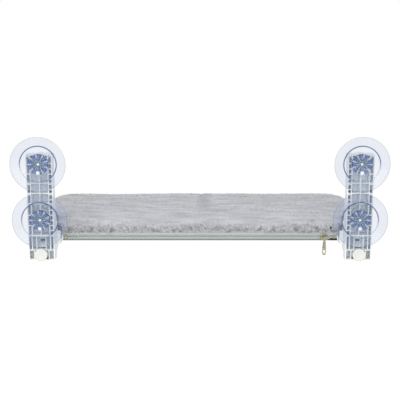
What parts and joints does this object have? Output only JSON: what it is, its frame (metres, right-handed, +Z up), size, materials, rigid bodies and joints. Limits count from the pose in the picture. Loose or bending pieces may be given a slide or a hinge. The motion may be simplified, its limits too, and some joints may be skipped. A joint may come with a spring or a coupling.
{
  "type": "window mounted cat perch",
  "caption": "Padded plush cat bed on a folding tube frame, held to a window pane by suction cups on ribbed white brackets.",
  "frame": {"origin": "on the room side of the window pane, at the centre of the rectangle that the four cups make", "axes": "+X along the pane to the right as seen from outside, +Y into the room, +Z up"},
  "size_m": [0.68, 0.352, 0.2292],
  "materials": {
    "white_moulding": "satin",
    "clear_cup": "gloss",
    "stud_insert": "satin",
    "steel": "satin",
    "pad_rubber": "matte",
    "bush_plastic": "satin",
    "tube_paint": "satin",
    "dark_cap": "satin",
    "board_ply": "matte",
    "foam": "matte",
    "plush": "matte",
    "lining": "matte",
    "tape_cloth": "matte",
    "coil_nylon": "satin",
    "zip_brass": "satin"
  },
  "bodies": {
    "mountings": {"left_bracket": "white_moulding", "left_upper_cup": "clear_cup", "left_lower_cup": "clear_cup", "left_upper_stud": "stud_insert", "left_lower_stud": "stud_insert", "left_upper_washer": "steel", "left_lower_washer": "steel", "left_bumper": "pad_rubber", "left_inner_bush": "bush_plastic", "left_outer_bush": "bush_plastic", "right_bracket": "white_moulding", "right_upper_cup": "clear_cup", "right_lower_cup": "clear_cup", "right_upper_stud": "stud_insert", "right_lower_stud": "stud_insert", "right_upper_washer": "steel", "right_lower_washer": "steel", "right_bumper": "pad_rubber", "right_inner_bush": "bush_plastic", "right_outer_bush": "bush_plastic"},
    "bed": {"left_arm_hub": "white_moulding", "left_pivot_screw": "steel", "left_arm_screw": "steel", "left_side_tube": "tube_paint", "left_joint_screw": "steel", "left_support_bar": "tube_paint", "left_end_cap": "dark_cap", "right_arm_hub": "white_moulding", "right_pivot_screw": "steel", "right_arm_screw": "steel", "right_side_tube": "tube_paint", "right_joint_screw": "steel", "right_support_bar": "tube_paint", "right_end_cap": "dark_cap", "front_tube": "tube_paint", "frame_connector": "steel", "support_board": "board_ply", "foam_pad": "foam", "cover_top": "plush", "cover_base": "lining", "zip_tape_upper": "tape_cloth", "zip_tape_lower": "tape_cloth", "zip_coil_upper": "coil_nylon", "zip_coil_lower": "coil_nylon", "zip_stop_left": "zip_brass", "zip_stop_right": "zip_brass"},
    "left_latch": {"left_latch": "white_moulding"},
    "left_upper_knob": {"left_upper_knob": "white_moulding"},
    "left_lower_knob": {"left_lower_knob": "white_moulding"},
    "right_latch": {"right_latch": "white_moulding"},
    "right_upper_knob": {"right_upper_knob": "white_moulding"},
    "right_lower_knob": {"right_lower_knob": "white_moulding"},
    "zip_slider": {"zip_slider": "zip_brass"},
    "zip_pull": {"zip_pull": "zip_brass"}
  },
  "joints": [
    {"name": "bed_fold", "type": "hinge", "parent": "mountings", "child": "bed", "pos_m": [0, 0.062, -0.07865], "axis": [1, 0, 0], "range_deg": [0, 90]},
    {"name": "left_latch_slide", "type": "slide", "parent": "mountings", "child": "left_latch", "axis": [0, 0, 1], "range_m": [0, 0.004]},
    {"name": "left_upper_knob_turn", "type": "hinge", "parent": "mountings", "child": "left_upper_knob", "pos_m": [-0.29, 0.042, 0.05125], "axis": [0, 1, 0], "range_deg": [0, 720]},
    {"name": "left_lower_knob_turn", "type": "hinge", "parent": "mountings", "child": "left_lower_knob", "pos_m": [-0.29, 0.042, -0.05125], "axis": [0, 1, 0], "range_deg": [0, 720]},
    {"name": "right_latch_slide", "type": "slide", "parent": "mountings", "child": "right_latch", "axis": [0, 0, 1], "range_m": [0, 0.004]},
    {"name": "right_upper_knob_turn", "type": "hinge", "parent": "mountings", "child": "right_upper_knob", "pos_m": [0.29, 0.042, 0.05125], "axis": [0, 1, 0], "range_deg": [0, 720]},
    {"name": "right_lower_knob_turn", "type": "hinge", "parent": "mountings", "child": "right_lower_knob", "pos_m": [0.29, 0.042, -0.05125], "axis": [0, 1, 0], "range_deg": [0, 720]},
    {"name": "zip_slide", "type": "slide", "parent": "bed", "child": "zip_slider", "axis": [1, 0, 0], "range_m": [-0.4735, 0.0095]},
    {"name": "pull_swing", "type": "hinge", "parent": "zip_slider", "child": "zip_pull", "pos_m": [0.232, 0.0458, -0.0929], "axis": [1, 0, 0], "range_deg": [-160, 20]}
  ]
}
